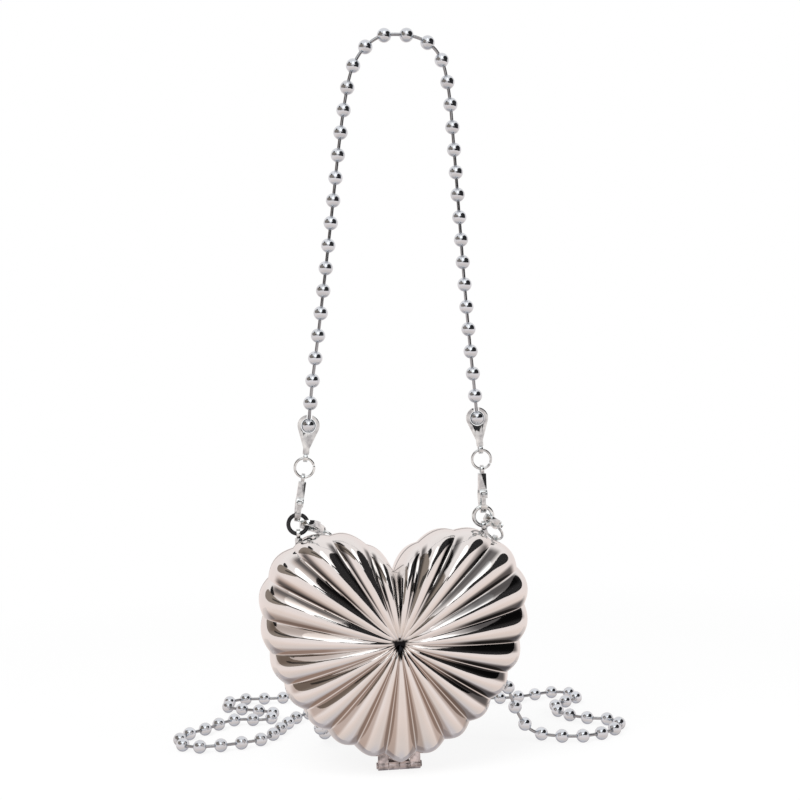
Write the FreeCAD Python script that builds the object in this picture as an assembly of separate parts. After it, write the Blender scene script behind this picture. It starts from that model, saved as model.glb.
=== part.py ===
"""Heart shaped hard purse: two pleated half shells on a bottom hinge, hung from a ball chain handle.

Millimetres, +Z up, front towards -Y. The origin is the top of the handle chain, where it is held.
Pieces of the purse are worked out about the heart's centre, on the parting plane of the two shells,
and moved to their place at the end. Chain routes are written in the part's own frame.
"""
import FreeCAD, Part
import math
import os

V = FreeCAD.Vector

# Place of the heart's centre below the top of the handle
heart_x = -9.4
heart_y = -2.2
heart_z = -291.6
heart_centre = V(heart_x, heart_y, heart_z)

# Heart outline: a round lobe and a wide side arc that meet at the widest point
lobe_radius = 35.0
lobe_overlap = 4.0
lobe_offset = lobe_radius - lobe_overlap
lobe_height = 17.0
side_radius = 79.0

# Pleated shells: rails run from the pinched centre to the rim, as shares of reach and depth
pleat_count = 23
shell_depth = 24.0
scallop_depth = 2.0
dimple_radius = 2.5
rim_gap = 0.15
rim_width = 3.2
wall = 2.0
rail_degree = 3
ridge_profile_shares = ((0, 0.84), (0.10, 1.0), (0.45, 0.98), (0.85, 0.80), (1.0, 0.52), (1.0, 0))
valley_profile_shares = ((0, 0.84), (0.10, 0.95), (0.45, 0.82), (0.85, 0.54), (1.0, 0.30), (1.0, 0))
strip_shares = (0, 0.20, 0.50, 0.80)
crest_shares = (0, 0.72, 1.0, 0.72)

# Fabric lining inside each shell
lining_gap = 0.25
lining_thickness = 0.9
lining_edge = 0.4

# Closing magnets in bosses below the cleft
magnet_radius = 4.0
magnet_thickness = 2.5
magnet_gap = 0.05
magnet_boss_wall = 1.5
magnet_boss_depth = 7.0
magnet_drop = 9.7

# Bottom hinge: four knuckles, the outer pair on the front shell and the inner pair on the back one
hinge_width = 21.0
hinge_gap = 0.35
knuckle_count = 4
knuckle_radius = 2.35
knuckle_gap = 0.2
hinge_pin_radius = 1.0
hinge_pin_clearance = 0.05
hinge_pin_head_radius = 1.6
hinge_pin_head_length = 0.6
leaf_thickness = 1.3
leaf_set_back = 0.6
leaf_height = 8.0

# Lugs on the back shell's upper edge, and the rings that hang in them
lug_offset_share = 0.414
lug_offset = lug_offset_share * lobe_radius
lug_y = 2.2
lug_rise = 2.75
lug_eye_radius = 2.5
lug_eye_bore = 1.45
lug_eye_thickness = 1.8
lug_shank_radius = 1.2
lug_shank_depth = 3.6
lug_collar_radius = 1.7
lug_collar_height = 2.6
lug_bore_clearance = 0.05
lug_ring_radius = 4.65
lug_ring_wire = 1.0
seat_gap = 0.3

# Clasps: an eye, a shank and a closed hook with a sprung gate
clasp_thickness = 3.6
hook_thickness = 2.5
clasp_eye_radius = 2.4
clasp_eye_bore = 1.5
clasp_eye_thickness = 1.6
hook_inner_radius = 2.6
hook_wall = 1.6
hook_top_drop = 12.5
hook_bottom_drop = 17.0
shank_top_width = 3.2
shank_low_width = 5.2
shank_low_drop = 9.5
mouth_top_drop = 13.6
mouth_bottom_drop = 17.0
slot_top_drop = 10.6
gate_pivot_drop = 12.2
gate_pivot_inset = 0.8
gate_round = 1.2
gate_thickness = 1.8
gate_gap = 0.15
gate_lever_length = 1.4
gate_lever_width = 1.2
gate_pin_radius = 0.5
gate_pin_clearance = 0.05
left_clasp_lean_deg = 10.0
left_clasp_slack = 0.5
right_clasp_lean_deg = 0
right_clasp_slack = 0.1
left_handle_way = V(0.13, 0, 0.99)
right_handle_way = V(-0.08, 0, 0.997)

# Strap clasps: where each holds its lug ring, which way it points, where its gate faces, and its slack
left_strap_hold_deg = -2.0
left_strap_way = V(0.455, 0.836, -0.306)
left_strap_gate_side = V(-0.889, 0.448, -0.098)
left_strap_slack = 0.6
left_strap_pull = V(0.20, 0.37, -0.87)
left_strap_hang = V(-0.10, 0.42, -0.90)
right_strap_hold_deg = -24.0
right_strap_way = V(0.269, 0.920, -0.286)
right_strap_gate_side = V(0.806, -0.378, -0.455)
right_strap_slack = 0.54
right_strap_pull = V(-0.02, 0.66, -0.75)
right_strap_hang = V(-0.05, 0.35, -0.935)

# Jump rings and flat chain connectors
jump_ring_radius = 4.65
jump_ring_wire = 0.65
connector_radius = 5.3
connector_thickness = 2.4
connector_rise = 15.5
connector_shoulder_deg = 25.0
connector_neck_width = 3.0
connector_neck_rise = 4.5
connector_neck_start = 1.6
connector_eye_radius = 2.2
connector_eye_bore = 1.25
connector_eye_thickness = 2.0
connector_slot_width = 2.8
bead_clearance = 0.3

# Ball chains
bead_radius = 3.5
bead_pitch = 10.8
link_radius = 0.8
link_gap = 0.2
bead_sides = 8
bead_band_degs = (20.0, 62.0, 118.0, 160.0)
link_sides = 4
ring_sides = 20
wire_sides = 8
route_degree = 2

# Margin by which cutting shapes run past what they cut
overrun = 1.0

handle_route = [
    (-46.4, 0, -170.0), (-42.6, 0, -147.0), (-38.4, 0, -118.0), (-33.8, 0, -86.0),
    (-29.8, 0, -56.0), (-26.2, 0, -33.0), (-21.5, 0, -12.5), (-10.0, 0, -0.6), (2.0, 0, 0.4),
    (13.5, 0, -2.0), (22.0, 0, -10.0), (25.3, 0, -27.0), (26.6, 0, -52.0), (28.2, 0, -84.0),
    (29.8, 0, -117.0), (31.6, 0, -147.0), (33.4, 0, -170.0)]
strap_right_drop = [
    (44.1, 33.2, -278.6), (45.0, 33.0, -293.0), (47.4, 30.2, -308.0), (50.4, 27.4, -325.0),
    (55.4, 27.4, -340.6), (61.6, 28.6, -350.6)]
strap_floor_run = [
    (68.6, 29.7), (78.6, 23.7), (89.6, 21.7), (100.6, 24.7), (109.6, 31.7), (114.6, 41.7), (110.6, 50.7),
    (100.6, 53.7), (91.6, 61.7), (86.6, 72.7), (88.6, 84.7), (96.6, 90.7), (103.6, 94.7), (105.6, 103.7),
    (99.6, 111.7), (90.6, 112.7), (78.6, 107.7), (62.6, 104.7), (40.6, 112.7), (15.6, 126.7), (-9.4, 135.7),
    (-37.4, 138.7), (-61.4, 134.7), (-75.4, 135.7), (-87.4, 137.7), (-96.4, 129.7), (-93.4, 118.7),
    (-80.4, 111.7), (-69.4, 105.7), (-66.4, 94.7), (-75.4, 88.7), (-86.4, 94.7), (-95.4, 90.7),
    (-104.4, 78.7), (-115.4, 70.7), (-120.4, 56.7), (-113.4, 45.7), (-100.4, 44.7), (-85.4, 47.7),
    (-72.4, 52.7), (-63.4, 74.7), (-55.4, 92.7), (-46.4, 99.7), (-37.4, 92.7), (-36.4, 76.7), (-40.4, 58.7)]
strap_left_drop = [
    (-44.4, 45.2, -351.1), (-46.4, 38.2, -341.6), (-47.2, 34.4, -325.0), (-47.2, 33.6, -307.0),
    (-46.3, 33.8, -292.0), (-44.5, 32.0, -277.3)]


def unit(vector):
    """The vector at length one."""
    return vector * (1 / vector.Length)


def heart_reach(angle):
    """Distance from the centre to the heart outline, with the angle taken from +Z towards +X."""
    across = abs(math.sin(angle))
    up = math.cos(angle)
    lobe_along = lobe_offset * across + lobe_height * up
    lobe_rest = lobe_along ** 2 - lobe_offset ** 2 - lobe_height ** 2 + lobe_radius ** 2
    if lobe_rest > 0:
        reach = lobe_along + math.sqrt(lobe_rest)
        if reach * up >= lobe_height:
            return reach
    side_offset = lobe_offset + lobe_radius - side_radius
    side_along = side_offset * across + lobe_height * up
    side_rest = side_along ** 2 - side_offset ** 2 - lobe_height ** 2 + side_radius ** 2
    return side_along + math.sqrt(side_rest)


def magnet_height():
    """Height of the magnets, below the cleft."""
    return heart_reach(0) - magnet_drop


def hinge_drop():
    """Depth of the hinge line, just below the tip of the heart."""
    return heart_reach(math.pi) + hinge_gap + knuckle_radius


def lug_x():
    """Distance of the lugs from the heart's middle line."""
    return lobe_offset + lug_offset


def lug_eye_height():
    """Height of the lugs' eyes, above the lobes' edge."""
    return lobe_height + math.sqrt(lobe_radius ** 2 - lug_offset ** 2) + lug_rise


def heart_point(angle, radius, depth):
    """Point of the front shell at an angle and radius from the centre, in front of the parting plane."""
    return V(radius * math.sin(angle), -depth, radius * math.cos(angle))


def pleat_rail(angle, crest):
    """Poles of one rail of the pleated face: crest 0 is a valley and 1 is a ridge."""
    reach = heart_reach(angle) - scallop_depth * (1 - crest)
    poles = []
    for ridge, valley in zip(ridge_profile_shares, valley_profile_shares):
        out = valley[0] + crest * (ridge[0] - valley[0])
        deep = valley[1] + crest * (ridge[1] - valley[1])
        radius = dimple_radius + out * (reach - dimple_radius)
        poles.append(heart_point(angle, radius, rim_gap + deep * shell_depth))
    return poles


def dome_rail(angle, inset, edge):
    """Poles of one rail of a smooth dome that lies the wall and an inset inside the valleys."""
    reach = heart_reach(angle) - scallop_depth - rim_width - inset
    poles = []
    for out, deep in valley_profile_shares:
        depth = rim_gap + edge
        if deep > 0:
            depth = rim_gap + deep * shell_depth - wall - inset
        poles.append(heart_point(angle, dimple_radius + out * (reach - dimple_radius), depth))
    return poles


def ruled_face(rail, next_rail):
    """Face of straight lines between two neighbouring rails."""
    inner_knots = len(rail) - rail_degree
    mults = [rail_degree + 1] + [1] * (inner_knots - 1) + [rail_degree + 1]
    surface = Part.BSplineSurface()
    surface.buildFromPolesMultsKnots([list(pair) for pair in zip(rail, next_rail)], mults, [2, 2],
                                     list(range(inner_knots + 1)), [0, 1], False, False, rail_degree, 1)
    return surface.toShape()


def closed_polygon(points):
    """Closed wire through the points."""
    return Part.makePolygon(points + points[:1])


def solid_from(faces):
    """Solid inside faces that join edge to edge."""
    shell = Part.makeShell(faces)
    shell.sewShape()
    solid = Part.makeSolid(shell)
    if solid.Volume < 0:
        solid.reverse()
    return solid


def shell_between(outer_rails, inner_rails):
    """Open shell between two sets of rails: both skins, the two centre caps and the rim."""
    faces = []
    for rails in (outer_rails, inner_rails):
        faces += [ruled_face(a, b) for a, b in zip(rails, rails[1:] + rails[:1])]
        faces.append(Part.Face(closed_polygon([rail[0] for rail in rails])))
    rims = [closed_polygon([rail[-1] for rail in rails]) for rails in (outer_rails, inner_rails)]
    faces.append(Part.makeFace(rims, "Part::FaceMakerBullseye"))
    return solid_from(faces)


def dome_rails(inset, edge):
    """Rails of a smooth dome, one under each valley."""
    step = 2 * math.pi / pleat_count
    return [dome_rail(pleat * step, inset, edge) for pleat in range(pleat_count)]


def pleat_rails():
    """Rails of the pleated face: a valley at the cleft, and strips across each rounded pleat."""
    step = 2 * math.pi / pleat_count
    rails = []
    for pleat in range(pleat_count):
        for share, crest in zip(strip_shares, crest_shares):
            rails.append(pleat_rail((pleat + share) * step, crest))
    return rails


def along_y(radius, x, y_from, y_to, z):
    """Round bar along Y."""
    return Part.makeCylinder(radius, y_to - y_from, V(x, y_from, z), V(0, 1, 0))


def along_x(radius, x_from, x_to, y, z):
    """Round bar along X."""
    return Part.makeCylinder(radius, x_to - x_from, V(x_from, y, z), V(1, 0, 0))


def box_between(low, high):
    """Box between two corners."""
    size = high - low
    return Part.makeBox(size.x, size.y, size.z, low)


def to_back(shape):
    """The same piece on the back half."""
    return shape.mirror(V(0, 0, 0), V(0, 1, 0))


def magnet_boss_radius():
    """Radius of the boss that holds a magnet."""
    return magnet_radius + magnet_gap + magnet_boss_wall


def front_shell_blank():
    """Pleated half shell with the magnet's boss and pocket, before other pieces are fitted."""
    shell = shell_between(pleat_rails(), dome_rails(0, 0))
    boss = along_y(magnet_boss_radius(), 0, -rim_gap - magnet_boss_depth, -rim_gap, magnet_height())
    pocket_depth = rim_gap + magnet_thickness + magnet_gap
    pocket = along_y(magnet_radius + magnet_gap, 0, -pocket_depth, overrun, magnet_height())
    return shell.fuse(boss).cut(pocket)


def front_lining_piece():
    """Fabric lining that follows the inside of the shell, cut out round the magnet's boss."""
    outside = dome_rails(lining_gap, lining_edge)
    inside = dome_rails(lining_gap + lining_thickness, lining_edge)
    lining = shell_between(outside, inside)
    boss_room = magnet_boss_radius() + lining_gap
    return lining.cut(along_y(boss_room, 0, -shell_depth, overrun, magnet_height()))


def front_magnet_piece():
    """Disc magnet, just below the parting plane."""
    return along_y(magnet_radius, 0, -rim_gap - magnet_thickness, -rim_gap, magnet_height())


def knuckle_spans():
    """Start and end of each knuckle along the hinge."""
    pitch = hinge_width / knuckle_count
    spans = []
    for index in range(knuckle_count):
        start = index * pitch - hinge_width / 2
        spans.append((start + knuckle_gap / 2, start + pitch - knuckle_gap / 2))
    return spans


def hinge_leaf(spans, plates, shell):
    """Knuckles with plates, set back from their round fronts, that rise onto the shell's edge."""
    leaf = None
    for start, end in plates:
        front = leaf_set_back - knuckle_radius
        low = V(start, front, -hinge_drop())
        high = V(end, front + leaf_thickness, leaf_height - hinge_drop())
        plate = box_between(low, high).cut(shell)
        leaf = plate if leaf is None else leaf.fuse(plate)
    for start, end in spans:
        leaf = leaf.fuse(along_x(knuckle_radius, start, end, 0, -hinge_drop()))
    bore = hinge_pin_radius + hinge_pin_clearance
    leaf = leaf.cut(along_x(bore, -hinge_width, hinge_width, 0, -hinge_drop()))
    return Part.makeCompound(largest_solids(leaf, len(plates)))


def largest_solids(shape, count):
    """The largest solids of a shape, without the slivers that a cut leaves behind a wall."""
    return sorted(shape.removeSplitter().Solids, key=lambda solid: -solid.Volume)[:count]


def hinge_pin_piece():
    """Pin through the four knuckles, with a rivet head at each end."""
    half = hinge_width / 2
    pin = along_x(hinge_pin_radius, -half, half, 0, -hinge_drop())
    for start in (-half - hinge_pin_head_length, half):
        pin = pin.fuse(along_x(hinge_pin_head_radius, start, start + hinge_pin_head_length, 0, -hinge_drop()))
    return pin.removeSplitter()


def lug_shank(x, radius):
    """Round shank of a lug, set down into the shell's edge."""
    top = lug_eye_height() - lug_eye_bore
    bottom = lug_eye_height() - lug_eye_radius - lug_collar_height - lug_shank_depth
    return Part.makeCylinder(radius, top - bottom - (lug_eye_radius - lug_eye_bore) / 2, V(x, lug_y, bottom))


def lug_piece(x, shell):
    """Eye with a collar that sits on the back shell's edge and a shank that goes into it."""
    half = lug_eye_thickness / 2
    eye = along_x(lug_eye_radius, x - half, x + half, lug_y, lug_eye_height())
    collar_top = lug_eye_height() - lug_eye_bore - (lug_eye_radius - lug_eye_bore) / 2
    collar_bottom = lug_eye_height() - lug_eye_radius - lug_collar_height
    collar = Part.makeCylinder(lug_collar_radius, collar_top - collar_bottom, V(x, lug_y, collar_bottom))
    lug = eye.fuse(collar.cut(shell)).fuse(lug_shank(x, lug_shank_radius))
    lug = lug.cut(along_x(lug_eye_bore, x - lug_eye_radius, x + lug_eye_radius, lug_y, lug_eye_height()))
    return largest_solids(lug, 1)[0]


def facet_solid(loops, capped):
    """Solid with flat faces between closed loops of points, capped or joined end to start."""
    pairs = list(zip(loops, loops[1:]))
    if not capped:
        pairs.append((loops[-1], loops[0]))
    faces = []
    for loop, next_loop in pairs:
        count = len(loop)
        for index in range(count):
            after = (index + 1) % count
            corners = [loop[index], loop[after], next_loop[after], next_loop[index]]
            faces.append(Part.Face(closed_polygon(corners)))
    if capped:
        faces += [Part.Face(closed_polygon(loop)) for loop in (loops[0], loops[-1])]
    return solid_from(faces)


def circle_points(centre, first, second, radius, count):
    """Corners of a regular polygon with the area of a circle."""
    corner = radius * math.sqrt(2 * math.pi / count / math.sin(2 * math.pi / count))
    points = []
    for index in range(count):
        angle = 2 * math.pi * index / count
        points.append(centre + first * (corner * math.cos(angle)) + second * (corner * math.sin(angle)))
    return points


def wire_ring(centre, first, second, radius, wire):
    """Ring of round wire in the plane of two unit directions."""
    normal = first.cross(second)
    loops = []
    for index in range(ring_sides):
        angle = 2 * math.pi * index / ring_sides
        out = first * math.cos(angle) + second * math.sin(angle)
        loops.append(circle_points(centre + out * radius, out, normal, wire, wire_sides))
    return facet_solid(loops, False)


def bead_blank():
    """Ball of the chain with its poles on Z: bands of flat faces and two small flat ends."""
    loops = []
    for band in bead_band_degs:
        angle = math.radians(band)
        centre = V(0, 0, bead_radius * math.cos(angle))
        loops.append(circle_points(centre, V(1, 0, 0), V(0, 1, 0), bead_radius * math.sin(angle), bead_sides))
    return facet_solid(loops, True)


def chain(route):
    """Balls at equal steps along the smooth route, and the short wires between them."""
    curve = Part.BSplineCurve()
    spans = len(route) - route_degree
    mults = [route_degree + 1] + [1] * (spans - 1) + [route_degree + 1]
    curve.buildFromPolesMultsKnots(route, mults, list(range(spans + 1)), False, route_degree)
    edge = curve.toShape()
    count = round(edge.Length / bead_pitch) + 1
    places = edge.discretize(Number=count)
    blank = bead_blank()
    beads = []
    links = []
    pole_reach = bead_radius + link_gap
    for index, place in enumerate(places):
        ahead = places[min(index + 1, count - 1)]
        behind = places[max(index - 1, 0)]
        bead = blank.copy()
        bead.Placement = FreeCAD.Placement(place, FreeCAD.Rotation(V(0, 0, 1), ahead - behind))
        beads.append(bead)
    for place, ahead in zip(places, places[1:]):
        way = unit(ahead - place)
        first = unit(way.cross(V(way.y, way.z, way.x) + V(way.z, -way.x, way.y)))
        second = way.cross(first)
        loops = []
        for centre in (place + way * pole_reach, ahead - way * pole_reach):
            loops.append(circle_points(centre, first, second, link_radius, link_sides))
        links.append(facet_solid(loops, True))
    print("chain", round(edge.Length, 1), "mm long,", count, "balls")
    return Part.makeCompound(beads), Part.makeCompound(links)


def flat_bar(radius, thickness, x, y):
    """Round disc of the clasp's plane, about its mid thickness."""
    return Part.makeCylinder(radius, thickness, V(x, y, -thickness / 2))


def flat_plate(points, thickness):
    """Plate with straight edges, about its mid thickness."""
    face = Part.Face(closed_polygon([V(x, y, -thickness / 2) for x, y in points]))
    return face.extrude(V(0, 0, thickness))


def long_hole(radius, thickness):
    """Round-ended slab between the two centres of the hook."""
    middle = [(-radius, -hook_bottom_drop), (radius, -hook_bottom_drop),
              (radius, -hook_top_drop), (-radius, -hook_top_drop)]
    slab = flat_plate(middle, thickness)
    for drop in (hook_top_drop, hook_bottom_drop):
        slab = slab.fuse(flat_bar(radius, thickness, 0, -drop))
    return slab.removeSplitter()


def swivel_eye(radius, thickness, turned):
    """Disc of the clasp's eye, along Z or turned a quarter on its swivel to lie along X."""
    if turned:
        return along_x(radius, -thickness / 2, thickness / 2, 0, 0)
    return flat_bar(radius, thickness, 0, 0)


def clasp_blank(turned):
    """Clasp with its eye at the origin, hook below it and mouth on the +X side, for a gate."""
    through = clasp_thickness + overrun
    outer_radius = hook_inner_radius + hook_wall
    shank = [(-shank_top_width / 2, 0), (-shank_low_width / 2, -shank_low_drop),
             (shank_low_width / 2, -shank_low_drop), (shank_top_width / 2, 0)]
    eye_room = swivel_eye(clasp_eye_radius, through, turned)
    body = flat_plate(shank, clasp_thickness).cut(eye_room)
    body = body.fuse(long_hole(outer_radius, clasp_thickness))
    body = body.fuse(swivel_eye(clasp_eye_radius, clasp_eye_thickness, turned))
    body = body.cut(long_hole(hook_inner_radius, through))
    body = body.cut(swivel_eye(clasp_eye_bore, through, turned))
    mouth = V(0, -mouth_bottom_drop, -through)
    body = body.cut(box_between(mouth, V(outer_radius + overrun, -mouth_top_drop, through)))
    slot_half = gate_thickness / 2 + gate_gap
    slot_inside = gate_pivot_offset() - gate_round - gate_gap
    slot = V(slot_inside, -mouth_top_drop - overrun, -slot_half)
    body = body.cut(box_between(slot, V(outer_radius + overrun, -slot_top_drop, slot_half)))
    body = body.cut(flat_bar(gate_pin_radius, through, gate_pivot_offset(), -gate_pivot_drop))
    return body.common(hook_taper(outer_radius)).removeSplitter()


def hook_taper(outer_radius):
    """Room that thins from the clasp's full thickness at the mouth to the hook's end."""
    full = clasp_thickness / 2
    thin = hook_thickness / 2
    end = -hook_bottom_drop - outer_radius
    side = [(clasp_eye_radius, full), (-mouth_top_drop, full), (end, thin),
            (end, -thin), (-mouth_top_drop, -full), (clasp_eye_radius, -full)]
    face = Part.Face(closed_polygon([V(-outer_radius, y, z) for y, z in side]))
    return face.extrude(V(2 * outer_radius, 0, 0))


def gate_pivot_offset():
    """Distance of the gate's pivot from the clasp's middle line."""
    return hook_inner_radius + gate_pivot_inset


def gate_blank():
    """Gate across the mouth, with a thumb lever at its pivot."""
    pivot = gate_pivot_offset()
    inside = hook_inner_radius + gate_gap
    outside = hook_inner_radius + hook_wall
    tip = -mouth_bottom_drop + gate_gap
    half = gate_lever_width / 2
    gate = flat_plate([(inside, tip), (outside, tip), (outside, -gate_pivot_drop), (inside, -gate_pivot_drop)],
                      gate_thickness)
    lever_end = outside + gate_lever_length
    lever = [(pivot, -gate_pivot_drop - half), (lever_end, -gate_pivot_drop - half),
             (lever_end, -gate_pivot_drop + half), (pivot, -gate_pivot_drop + half)]
    gate = gate.fuse(flat_plate(lever, gate_thickness))
    gate = gate.fuse(flat_bar(gate_round, gate_thickness, pivot, -gate_pivot_drop))
    bore = gate_pin_radius + gate_pin_clearance
    return gate.cut(flat_bar(bore, clasp_thickness, pivot, -gate_pivot_drop)).removeSplitter()


def placed(shape, base, first, second):
    """Copy of a shape with its X and Y turned to two directions and its origin moved to a point."""
    turned = shape.copy()
    turned.Placement = FreeCAD.Placement(base, FreeCAD.Rotation(first, second, first.cross(second), "YXZ"))
    return turned


def ring_drop():
    """Distance of a lug ring's wire below the eye of a clasp that it hangs in."""
    return hook_bottom_drop + hook_inner_radius - lug_ring_wire - seat_gap


def clasp_set(name, eye, gate_side, length_way, turned):
    """Clasp body, gate and pin with the eye at a point, printing the gate's pivot in metres."""
    pivot_local = V(gate_pivot_offset(), -gate_pivot_drop, 0)
    pin = flat_bar(gate_pin_radius, clasp_thickness, pivot_local.x, pivot_local.y)
    pivot = heart_centre + eye + gate_side * pivot_local.x + length_way * pivot_local.y
    axis = length_way.cross(gate_side)
    print(name, "gate pivot", [round(v / 1000, 6) for v in pivot], "axis", [round(v, 6) for v in axis])
    return {name + "_clasp": placed(clasp_blank(turned), eye, gate_side, length_way),
            name + "_clasp_gate": placed(gate_blank(), eye, gate_side, length_way),
            name + "_clasp_pin": placed(pin, eye, gate_side, length_way)}


def connector_blank():
    """Flat chain end: eye at the origin, neck, and a round plate above that holds the last ball."""
    half_neck = connector_neck_width / 2
    shoulder = math.radians(connector_shoulder_deg)
    wide = connector_radius * math.cos(shoulder)
    rise = connector_rise - connector_radius * math.sin(shoulder)
    half = connector_thickness / 2
    outline = [V(-wide, rise, -half), V(-half_neck, connector_neck_rise, -half),
               V(-half_neck, connector_neck_start, -half), V(half_neck, connector_neck_start, -half),
               V(half_neck, connector_neck_rise, -half), V(wide, rise, -half)]
    edges = [Part.makeLine(a, b) for a, b in zip(outline, outline[1:])]
    crown = V(0, connector_rise + connector_radius, -half)
    edges.append(Part.Arc(outline[-1], crown, outline[0]).toShape())
    plate = Part.Face(Part.Wire(edges)).extrude(V(0, 0, connector_thickness))
    eye_half = connector_eye_thickness / 2
    eye = along_x(connector_eye_radius, -eye_half, eye_half, 0, 0)
    plate = plate.fuse(eye)
    plate = plate.cut(along_x(connector_eye_bore, -connector_radius, connector_radius, 0, 0))
    plate = plate.cut(flat_bar(bead_radius + bead_clearance, connector_thickness + overrun, 0, connector_rise))
    slot_half = connector_slot_width / 2
    slot_low = V(-slot_half, connector_rise, -connector_thickness)
    slot_high = V(slot_half, connector_rise + connector_radius + overrun, connector_thickness)
    return plate.cut(box_between(slot_low, slot_high)).removeSplitter()


def chain_end(name, eye, pull, across, way):
    """Jump ring pulled out of a clasp's eye, the connector that hangs in it, and the seat of the last ball."""
    way = unit(way)
    across = unit(across - pull * across.dot(pull))
    normal = pull.cross(across)
    centre = eye + pull * (clasp_eye_bore - jump_ring_wire - seat_gap + jump_ring_radius)
    ring = wire_ring(centre, pull, across, jump_ring_radius, jump_ring_wire)
    out = unit(way - normal * way.dot(normal))
    along = normal.cross(out)
    along = unit(along - way * along.dot(way))
    base = centre + out * jump_ring_radius + way * (connector_eye_bore - jump_ring_wire - seat_gap)
    pieces = {name + "_jump_ring": ring, name + "_connector": placed(connector_blank(), base, along, way)}
    return pieces, base + way * connector_rise


def lug_ring_centre(side):
    """Middle of the ring that hangs upright in the lug on one side."""
    low = lug_eye_height() + lug_eye_bore - lug_ring_wire - seat_gap
    return V(side * lug_x(), lug_y, low + lug_ring_radius)


def handle_side(name, side, lean_deg, slack, way):
    """One side of the handle: the lug ring, and the clasp, jump ring and connector above it."""
    centre = lug_ring_centre(side)
    lean = math.radians(lean_deg)
    length_way = V(math.sin(lean), 0, math.cos(lean))
    eye = centre + V(0, 0, lug_ring_radius) + length_way * (ring_drop() - slack)
    pieces = clasp_set("handle_" + name, eye, V(0, -1, 0), length_way, False)
    end_pieces, seat = chain_end("handle_" + name, eye, length_way, V(1, 0, 0), way)
    pieces.update(end_pieces)
    pieces[name + "_lug_ring"] = wire_ring(centre, V(1, 0, 0), V(0, 0, 1), lug_ring_radius, lug_ring_wire)
    swing = heart_centre + eye + length_way * (clasp_eye_bore - jump_ring_wire - seat_gap)
    print(name, "swing axis at", [round(v / 1000, 6) for v in swing])
    return pieces, seat


def strap_side(name, side, hold_deg, length_way, gate_side, slack, pull, hang):
    """One end of the strap: a clasp hooked on the lug ring, its jump ring and connector."""
    hold = math.radians(hold_deg)
    held = lug_ring_centre(side) + V(math.cos(hold), 0, math.sin(hold)) * lug_ring_radius
    length_way = unit(length_way)
    gate_side = unit(gate_side - length_way * gate_side.dot(length_way))
    eye = held + length_way * (ring_drop() - slack)
    pieces = clasp_set("strap_" + name, eye, gate_side, length_way, True)
    end_pieces, seat = chain_end("strap_" + name, eye, unit(pull), gate_side, hang)
    pieces.update(end_pieces)
    return pieces, seat


def purse_pieces():
    """All pieces worked out about the heart's centre, by name."""
    front = front_shell_blank()
    back = to_back(front)
    spans = knuckle_spans()
    outer = [spans[0], spans[-1]]
    inner = spans[1:-1]
    pieces = {"front_shell": front,
              "front_lining": front_lining_piece(),
              "back_lining": to_back(front_lining_piece()),
              "front_magnet": front_magnet_piece(),
              "back_magnet": to_back(front_magnet_piece()),
              "front_hinge_leaf": hinge_leaf(outer, outer, front),
              "back_hinge_leaf": to_back(hinge_leaf(inner, [(inner[0][0], inner[-1][1])], front)),
              "hinge_pin": hinge_pin_piece()}
    for name, side in (("left_lug", -1), ("right_lug", 1)):
        pieces[name] = lug_piece(side * lug_x(), back)
    for side in (-1, 1):
        back = back.cut(lug_shank(side * lug_x(), lug_shank_radius + lug_bore_clearance))
    pieces["back_shell"] = back
    return pieces


def clasp_pieces():
    """Rings, clasps and chain ends of the handle and the strap, and the seats of the chains' last balls."""
    ends = [handle_side("left", -1, left_clasp_lean_deg, left_clasp_slack, left_handle_way),
            handle_side("right", 1, right_clasp_lean_deg, right_clasp_slack, right_handle_way),
            strap_side("right", 1, right_strap_hold_deg, right_strap_way, right_strap_gate_side,
                       right_strap_slack, right_strap_pull, right_strap_hang),
            strap_side("left", -1, left_strap_hold_deg, left_strap_way, left_strap_gate_side,
                       left_strap_slack, left_strap_pull, left_strap_hang)]
    pieces = {}
    for end_pieces, seat in ends:
        pieces.update(end_pieces)
    return pieces, [heart_centre + seat for end_pieces, seat in ends]


def chain_pieces(handle_left, handle_right, strap_right, strap_left):
    """The handle chain and the strap chain between their seats, in the part's own frame."""
    floor_rest = heart_centre.z - hinge_drop() - knuckle_radius + bead_radius
    floor_run = [(x, y, floor_rest) for x, y in strap_floor_run]
    strap_route = strap_right_drop + floor_run + strap_left_drop
    handle = chain([handle_left] + [V(*point) for point in handle_route] + [handle_right])
    strap = chain([strap_right] + [V(*point) for point in strap_route] + [strap_left])
    return {"handle_chain_balls": handle[0], "handle_chain_links": handle[1],
            "strap_chain_balls": strap[0], "strap_chain_links": strap[1]}


def main():
    """Write each piece to its own file."""
    os.makedirs("parts", exist_ok=True)
    pieces = purse_pieces()
    end_pieces, seats = clasp_pieces()
    pieces.update(end_pieces)
    for shape in pieces.values():
        shape.translate(heart_centre)
    pieces.update(chain_pieces(*seats))
    for name, shape in sorted(pieces.items()):
        shape.exportStep("parts/" + name + ".step")
    print("lid hinge at", [round(v / 1000, 6) for v in heart_centre - V(0, 0, hinge_drop())])
    for seat in seats:
        print("chain end at", [round(v / 1000, 6) for v in seat])


main()
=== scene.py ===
# %% [markdown]
# # A heart shaped purse in mirror silver
#
# The real object is a small hard purse: two pressed metal half shells with pleats that run from a pinched
# centre to a scalloped rim, hinged at the tip and hung from a ball chain. A second ball chain lies behind
# it. The solids come packed from the construction model, and this lesson dresses them. Every new piece is a
# surface worked out with numpy as whole arrays, so that its shape can be read from its formula.

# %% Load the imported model
import math

import bpy
import numpy as np
from mathutils import Matrix, Vector


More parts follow.
